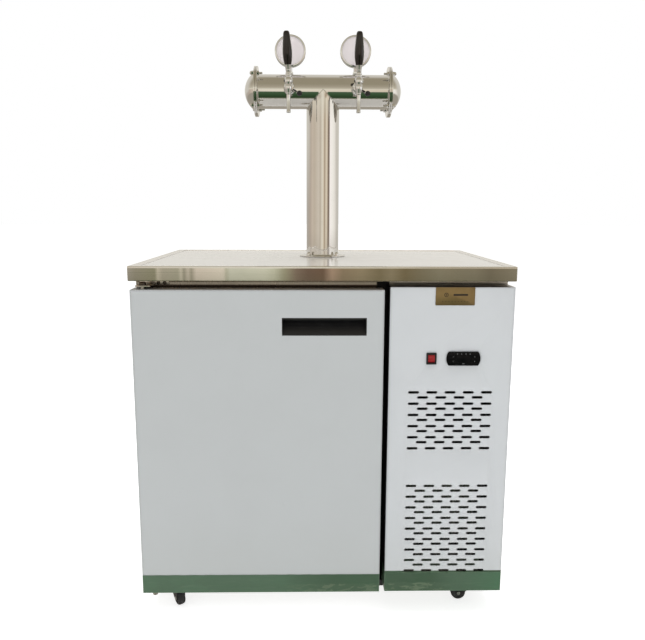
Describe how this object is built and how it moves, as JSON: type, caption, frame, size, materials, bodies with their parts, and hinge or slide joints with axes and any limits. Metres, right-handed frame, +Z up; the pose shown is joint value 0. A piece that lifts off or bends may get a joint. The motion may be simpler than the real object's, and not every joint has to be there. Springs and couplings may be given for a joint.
{
  "type": "kegerator",
  "caption": "Insulated keg refrigerator on casters with a hinged door, a side cooling bay and a tee-shaped draught tower with lever taps.",
  "frame": {"origin": "on the floor under the middle of the worktop", "axes": "+Z up, -Y towards the user in front of the door, +X to the user's right, over the cooling bay"},
  "size_m": [0.9, 0.6, 1.468],
  "materials": {
    "stainless_polished": "mirror-polished stainless steel",
    "stainless_brushed": "brushed stainless steel",
    "white_enamel": "satin off-white coated sheet",
    "white_deck": "glossy white coated sheet",
    "green_strip": "scuffed satin green strip",
    "galvanised": "galvanised sheet steel",
    "foam": "rigid polyurethane foam",
    "plywood": "plywood and foam core",
    "black_plastic": "satin black plastic",
    "black_gloss": "glossy black plastic",
    "grey_rubber": "soft grey magnetic gasket",
    "black_rubber": "hard black rubber",
    "red_plastic": "glossy red plastic",
    "brass": "polished brass",
    "copper": "drawn copper tube",
    "black_enamel": "black enamelled steel",
    "aluminium": "mill-finish aluminium",
    "grey_plastic": "light grey moulded cover",
    "clear_tube": "translucent beverage line"
  },
  "bodies": {
    "cabinet": {"back_panel": "galvanised", "badge_plate": "brass", "base_pan": "galvanised", "beer_line_left": "clear_tube", "beer_line_right": "clear_tube", "caster_plate_front_left": "galvanised", "caster_plate_front_right": "galvanised", "caster_plate_rear_left": "galvanised", "caster_plate_rear_right": "galvanised", "compressor": "black_enamel", "condenser": "aluminium", "controller_body": "black_gloss", "end_cap_left": "stainless_polished", "end_cap_right": "stainless_polished", "evaporator_cover": "grey_plastic", "insulation": "foam", "keg_liner": "stainless_brushed", "lower_hinge_bracket": "stainless_brushed", "machine_panel": "white_enamel", "medallion_left": "stainless_polished", "medallion_right": "stainless_polished", "panel_kick_strip": "green_strip", "power_gland": "black_plastic", "refrigerant_pipe": "copper", "side_panel_left": "stainless_brushed", "side_panel_right": "stainless_brushed", "switch_bezel": "black_plastic", "tap_body_left": "stainless_polished", "tap_body_right": "stainless_polished", "tower_body": "stainless_polished", "tower_flange": "stainless_polished", "upper_hinge_bracket": "stainless_brushed", "worktop_core": "plywood", "worktop_deck": "white_deck", "worktop_shell": "stainless_brushed"},
    "door": {"door_skin": "white_enamel", "door_foam": "foam", "door_liner": "stainless_brushed", "door_gasket": "grey_rubber", "door_handle_cup": "black_plastic", "door_kick_strip": "green_strip"},
    "tap_lever_left": {"tap_lever_left": "black_gloss"},
    "flow_lever_left": {"flow_lever_left": "black_plastic"},
    "tap_lever_right": {"tap_lever_right": "black_gloss"},
    "flow_lever_right": {"flow_lever_right": "black_plastic"},
    "switch_rocker": {"switch_rocker": "red_plastic"},
    "key_set": {"key_set": "black_plastic"},
    "key_down": {"key_down": "black_plastic"},
    "key_up": {"key_up": "black_plastic"},
    "key_power": {"key_power": "black_plastic"},
    "condenser_fan": {"condenser_fan": "black_plastic"},
    "evaporator_fan": {"evaporator_fan": "black_plastic"},
    "caster_fork_front_left": {"caster_fork_front_left": "black_plastic"},
    "caster_wheel_front_left": {"caster_wheel_front_left": "black_rubber"},
    "caster_fork_front_right": {"caster_fork_front_right": "black_plastic"},
    "caster_wheel_front_right": {"caster_wheel_front_right": "black_rubber"},
    "caster_fork_rear_left": {"caster_fork_rear_left": "black_plastic"},
    "caster_wheel_rear_left": {"caster_wheel_rear_left": "black_rubber"},
    "caster_fork_rear_right": {"caster_fork_rear_right": "black_plastic"},
    "caster_wheel_rear_right": {"caster_wheel_rear_right": "black_rubber"}
  },
  "joints": [
    {"name": "door_hinge", "type": "hinge", "parent": "cabinet", "child": "door", "pos_m": [-0.421, -0.2798, 0.444], "axis": [0, 0, -1], "range_deg": [0, 110]},
    {"name": "tap_lever_left_hinge", "type": "hinge", "parent": "cabinet", "child": "tap_lever_left", "pos_m": [-0.086, -0.06, 1.348], "axis": [1, 0, 0], "range_deg": [0, 30]},
    {"name": "flow_lever_left_hinge", "type": "hinge", "parent": "cabinet", "child": "flow_lever_left", "pos_m": [-0.086, -0.0125, 1.322], "axis": [0, -1, 0], "range_deg": [-40, 40]},
    {"name": "tap_lever_right_hinge", "type": "hinge", "parent": "cabinet", "child": "tap_lever_right", "pos_m": [0.093, -0.06, 1.348], "axis": [1, 0, 0], "range_deg": [0, 30]},
    {"name": "flow_lever_right_hinge", "type": "hinge", "parent": "cabinet", "child": "flow_lever_right", "pos_m": [0.093, -0.0125, 1.322], "axis": [0, -1, 0], "range_deg": [-40, 40]},
    {"name": "switch_rocker_hinge", "type": "hinge", "parent": "cabinet", "child": "switch_rocker", "pos_m": [0.2567, -0.2925, 0.6615], "axis": [-1, 0, 0], "range_deg": [0, 10]},
    {"name": "key_set_press", "type": "slide", "parent": "cabinet", "child": "key_set", "axis": [0, 1, 0], "range_m": [0, 0.0005], "stiffness_N_per_m": 400},
    {"name": "key_down_press", "type": "slide", "parent": "cabinet", "child": "key_down", "axis": [0, 1, 0], "range_m": [0, 0.0005], "stiffness_N_per_m": 400},
    {"name": "key_up_press", "type": "slide", "parent": "cabinet", "child": "key_up", "axis": [0, 1, 0], "range_m": [0, 0.0005], "stiffness_N_per_m": 400},
    {"name": "key_power_press", "type": "slide", "parent": "cabinet", "child": "key_power", "axis": [0, 1, 0], "range_m": [0, 0.0005], "stiffness_N_per_m": 400},
    {"name": "condenser_fan_spin", "type": "hinge", "parent": "cabinet", "child": "condenser_fan", "pos_m": [0.3, -0.162, 0.22], "axis": [0, -1, 0], "continuous": true},
    {"name": "evaporator_fan_spin", "type": "hinge", "parent": "cabinet", "child": "evaporator_fan", "pos_m": [0.036, 0.02, 0.62], "axis": [-1, 0, 0], "continuous": true},
    {"name": "caster_swivel_front_left", "type": "hinge", "parent": "cabinet", "child": "caster_fork_front_left", "pos_m": [-0.38, -0.228, 0.044], "axis": [0, 0, 1], "continuous": true},
    {"name": "caster_spin_front_left", "type": "hinge", "parent": "caster_fork_front_left", "child": "caster_wheel_front_left", "pos_m": [-0.36738, -0.24602, 0.019], "axis": [0.8192, 0.5736, 0], "continuous": true},
    {"name": "caster_swivel_front_right", "type": "hinge", "parent": "cabinet", "child": "caster_fork_front_right", "pos_m": [0.38, -0.228, 0.044], "axis": [0, 0, 1], "continuous": true},
    {"name": "caster_spin_front_right", "type": "hinge", "parent": "caster_fork_front_right", "child": "caster_wheel_front_right", "pos_m": [0.358, -0.228, 0.019], "axis": [0, -1, 0], "continuous": true},
    {"name": "caster_swivel_rear_left", "type": "hinge", "parent": "cabinet", "child": "caster_fork_rear_left", "pos_m": [-0.38, 0.228, 0.044], "axis": [0, 0, 1], "continuous": true},
    {"name": "caster_spin_rear_left", "type": "hinge", "parent": "caster_fork_rear_left", "child": "caster_wheel_rear_left", "pos_m": [-0.37248, 0.24867, 0.019], "axis": [-0.9397, 0.342, 0], "continuous": true},
    {"name": "caster_swivel_rear_right", "type": "hinge", "parent": "cabinet", "child": "caster_fork_rear_right", "pos_m": [0.38, 0.228, 0.044], "axis": [0, 0, 1], "continuous": true},
    {"name": "caster_spin_rear_right", "type": "hinge", "parent": "caster_fork_rear_right", "child": "caster_wheel_rear_right", "pos_m": [0.40067, 0.23552, 0.019], "axis": [-0.342, 0.9397, 0], "continuous": true}
  ]
}
